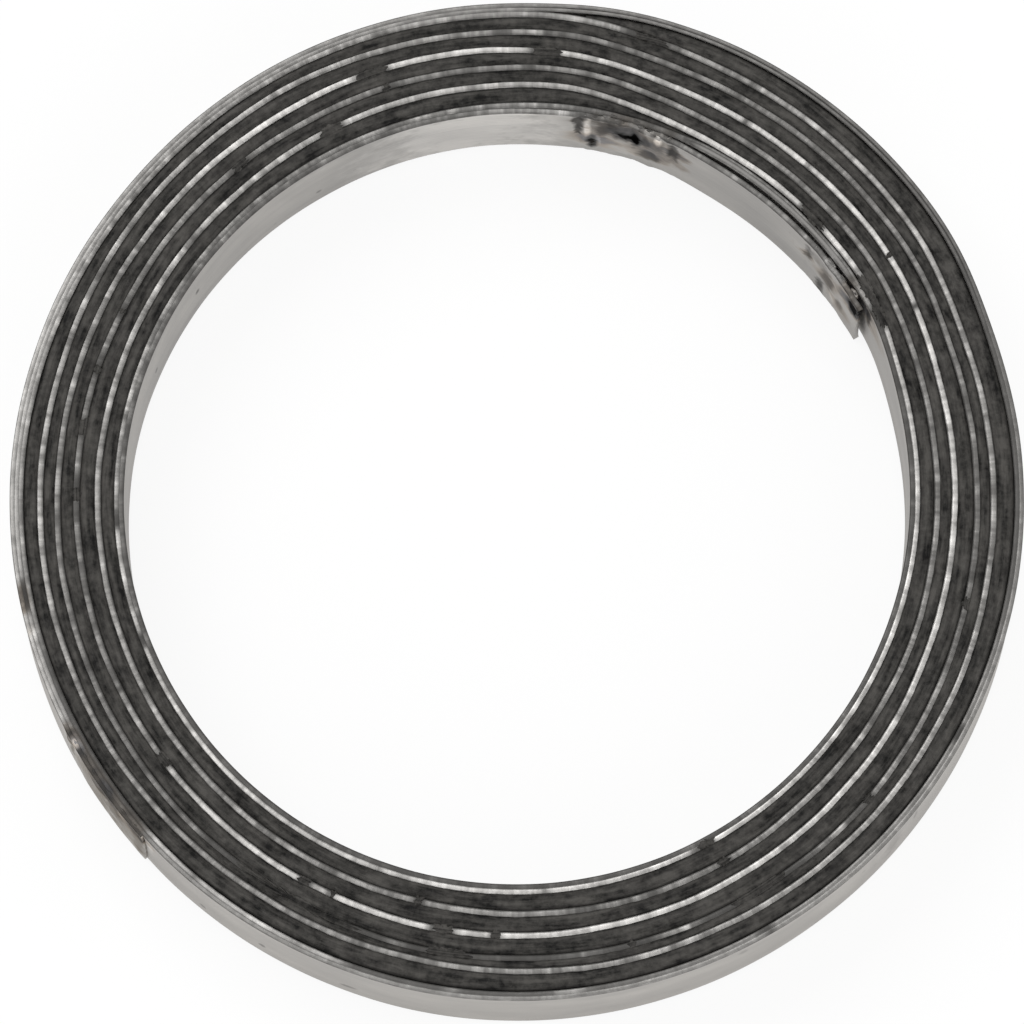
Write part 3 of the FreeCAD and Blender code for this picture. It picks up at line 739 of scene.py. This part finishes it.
def make_steel(run_at):
    """Rolled stainless strip: soft walls, a filmed or clean cut edge, heat tint and scorched marks at the welds, with
    painted light, shade and highlight on the walls and the edge.
    """
    material = bpy.data.materials.new("stainless_strip")
    material.use_nodes = True
    n = Nodes(material.node_tree)
    place = n.add("ShaderNodeTexCoord").outputs["Object"]
    path = n.add("ShaderNodeAttribute", {"attribute_name": "path"}).outputs["Vector"]
    bare_and_glint = n.add("ShaderNodeAttribute", {"attribute_name": "bare_and_glint"}).outputs["Fac"]
    z = n.add("ShaderNodeSeparateXYZ", {}, i0=place).outputs[2]
    radius = n.add("ShaderNodeSeparateXYZ", {}, i0=path).outputs[2]
    off_middle = n.math("ABSOLUTE", n.math("SUBTRACT", z, MIDDLE * MM))
    edge = n.band(off_middle, 2.752 * MM, 2.786 * MM)

    cloud = n.noise(n.stretch(path, 260, 420, 60), 1.0, 4.0, 0.62)
    rolled = n.noise(n.stretch(path, 60, 7000, 60), 1.0, 3.0, 0.7)
    speck = n.noise(n.stretch(path, 1300, 1700, 60), 1.0, 2.0, 0.5)
    grain = n.noise(place, 3200.0, 3.0, 0.7)
    patchy = n.noise(place, 800.0, 3.0, 0.6)
    wall = wall_colour(n, path, cloud, rolled, speck)
    # Painted light: the outer wall is made lighter in place of more lamp light on it.
    wall = n.mix(n.band(radius, 17.60 * MM, 17.95 * MM, 0.0, 0.20), wall, grey(0.80, 0.05))
    cut_edge, bare_glint_level = edge_colour(n, bare_and_glint, path, radius, grain)
    colour = n.mix(edge, wall, cut_edge)

    outside = n.math("ADD", n.band(radius, 17.80 * MM, 17.97 * MM), n.band(radius, 14.75 * MM, 14.45 * MM))
    char = n.math("MULTIPLY", heat_level(n, place, patchy), outside)
    colour = n.mix(1.0, colour, heat_tint(n, char), "MULTIPLY")
    colour, soot = add_marks(n, colour, path, run_at, patchy, grain, edge)

    rough = n.band(cloud, 0.2, 0.8, 0.36, 0.50)
    rough = n.math("MULTIPLY_ADD", char, 0.22, rough)
    metal = n.math("MULTIPLY_ADD", edge, n.math("SUBTRACT", n.band(bare_glint_level, 0.05, 0.45), 1.0), 1.0, True)
    metal = n.math("MULTIPLY", metal, n.math("MULTIPLY_ADD", soot, -1.2, 1.0, True))
    height = n.math("ADD", n.math("MULTIPLY", rolled, 0.35), n.math("MULTIPLY", grain, 0.65))
    bump = n.add("ShaderNodeBump", {}, Strength=0.35, Distance=0.012 * MM, Height=height).outputs[0]
    shader = n.add("ShaderNodeBsdfPrincipled", {}, Base_Color=colour, Roughness=rough, Metallic=metal, Normal=bump)
    shader.inputs["Specular Tint"].default_value = (0.60, 0.59, 0.58, 1)
    n.put(shader, "Specular IOR Level", n.math("MULTIPLY_ADD", soot, -0.7, 0.5, True))
    n.add("ShaderNodeOutputMaterial", {}, Surface=shader.outputs[0])
    return material


def make_graphite():
    """Matt flexible graphite: fibrous along the strip, with painted shade beside the metal, where the crevices lie."""
    material = bpy.data.materials.new("graphite")
    material.use_nodes = True
    n = Nodes(material.node_tree)
    place = n.add("ShaderNodeTexCoord").outputs["Object"]
    path = n.add("ShaderNodeAttribute", {"attribute_name": "path"}).outputs["Vector"]
    middle = n.add("ShaderNodeAttribute", {"attribute_name": "middle"}).outputs["Fac"]
    blotch = n.noise(place, 1500.0, 4.0, 0.6)
    grain = n.noise(place, 4200.0, 4.0, 0.7)
    streak = n.noise(n.stretch(path, 650, 4600, 300), 1.0, 3.0, 0.6)
    flake = n.add("ShaderNodeTexVoronoi", {}, Vector=place, Scale=3800.0).outputs["Distance"]
    tone = n.math("ADD", n.math("MULTIPLY", blotch, 0.30), n.math("MULTIPLY", grain, 0.30))
    tone = n.math("MULTIPLY_ADD", streak, 0.50, tone)
    colour = n.mix(n.band(tone, 0.43, 0.67), grey(0.0025, 0.05), grey(0.063, 0.055))
    # Painted shade: the graphite beside the metal is darkened, as shadow lies in the crevices there.
    colour = n.mix(n.band(middle, 0.0, 0.34), grey(0.0035, 0.05), colour)
    rough = n.band(blotch, 0.3, 0.7, 0.52, 0.72)
    height = n.math("ADD", n.math("MULTIPLY", grain, 0.7), n.math("MULTIPLY", flake, 0.4))
    bump = n.add("ShaderNodeBump", {}, Strength=0.55, Distance=0.05 * MM, Height=height).outputs[0]
    shader = n.add("ShaderNodeBsdfPrincipled", {}, Base_Color=colour, Roughness=rough, Normal=bump)
    # Painted shade: a lower specular level beside the metal darkens the crevices further.
    n.put(shader, "Specular IOR Level", n.band(middle, 0.0, 0.34, 0.03, 0.11))
    n.add("ShaderNodeOutputMaterial", {}, Surface=shader.outputs[0])
    return material


def see_white(n):
    """1 for rays that show the background: camera, mirror and glass."""
    light = n.add("ShaderNodeLightPath")
    seen = n.math("MAXIMUM", light.outputs["Is Camera Ray"], light.outputs["Is Glossy Ray"])
    return n.math("MAXIMUM", seen, light.outputs["Is Transmission Ray"])


def make_floor():
    """A plain pale floor that shows white and keeps the part's shadow."""
    size = 1.5
    verts = np.array([(-size, -size, 0), (size, -size, 0), (size, size, 0), (-size, size, 0)])
    floor = add_mesh("floor", verts, [(0, 1, 2, 3)])
    material = bpy.data.materials.new("floor")
    material.use_nodes = True
    n = Nodes(material.node_tree)
    matt = n.add("ShaderNodeBsdfDiffuse", {}, Color=(0.86, 0.86, 0.86, 1)).outputs[0]
    glow = n.add("ShaderNodeEmission", {}, Color=(1, 1, 1, 1), Strength=1.0).outputs[0]
    share = n.math("MULTIPLY", see_white(n), 0.88)
    mixed = n.add("ShaderNodeMixShader", {}, i0=share, i1=matt, i2=glow).outputs[0]
    n.add("ShaderNodeOutputMaterial", {}, Surface=mixed)
    floor.data.materials.append(material)


# Soft studio lamps: name, place and size in metres, watts.
LAMPS = [
    ("key", (-0.25, 0.30, 0.60), 0.45, 2.6), ("fill", (0.45, -0.2, 0.45), 0.5, 0.8),
    ("front", (0.05, -0.55, 0.40), 0.5, 1.0),
]


def make_light():
    """A pale even world and three soft lamps."""
    world = bpy.data.worlds.new("studio")
    bpy.context.scene.world = world
    world.use_nodes = True
    n = Nodes(world.node_tree)
    level = n.math("MULTIPLY_ADD", see_white(n), 0.35, 0.65)
    back = n.add("ShaderNodeBackground", {}, Color=(1, 1, 1, 1), Strength=level)
    n.add("ShaderNodeOutputWorld", {}, Surface=back.outputs[0])
    for name, place, size, watts in LAMPS:
        data = bpy.data.lights.new(name, "AREA")
        data.shape = "SQUARE"
        data.size = size
        data.energy = watts
        lamp = bpy.data.objects.new(name, data)
        bpy.context.scene.collection.objects.link(lamp)
        lamp.location = place
        lamp.rotation_mode = "QUATERNION"
        lamp.rotation_quaternion = Vector(place).to_track_quat("Z", "Y")


# The photograph's camera: elevation in degrees, distance in metres, sensor in millimetres, metres a pixel in a frame
# of 1024 pixels, and the pixel where the part's axis meets its upper face.
ELEVATION = 80.3
DISTANCE = 0.430
SENSOR = 36.0
PIXEL = 0.03591 * MM
HALF_FRAME = 512
AXIS_X, AXIS_Y = 517.1, 496.9


def make_camera():
    """The photograph's view, aimed so that the part's axis lands on its pixel."""
    elevation = math.radians(ELEVATION)
    data = bpy.data.cameras.new("camera")
    data.sensor_width = SENSOR
    data.lens = SENSOR / 2 / (HALF_FRAME * PIXEL / DISTANCE)
    data.clip_start, data.clip_end = 0.01, 10.0
    camera = bpy.data.objects.new("camera", data)
    bpy.context.scene.collection.objects.link(camera)
    right, down = (HALF_FRAME - AXIS_X) * PIXEL, (HALF_FRAME - AXIS_Y) * PIXEL
    aim = Vector((right, -down / math.sin(elevation), TOP * MM))
    back = Vector((0, -math.cos(elevation), math.sin(elevation)))
    camera.location = aim + back * DISTANCE
    camera.rotation_mode = "QUATERNION"
    camera.rotation_quaternion = (-back).to_track_quat("-Z", "Y")
    bpy.context.scene.camera = camera


strip, run_at = make_strip()
strip.data.materials.append(make_steel(run_at))
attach(strip, "root")
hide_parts("winding_strip")

filler = make_filler()
filler.data.materials.append(make_graphite())
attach(filler, "root")
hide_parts("graphite_filler")

make_floor()
make_light()
make_camera()
bpy.context.scene.view_settings.view_transform = "Standard"

bpy.context.view_layer.update()
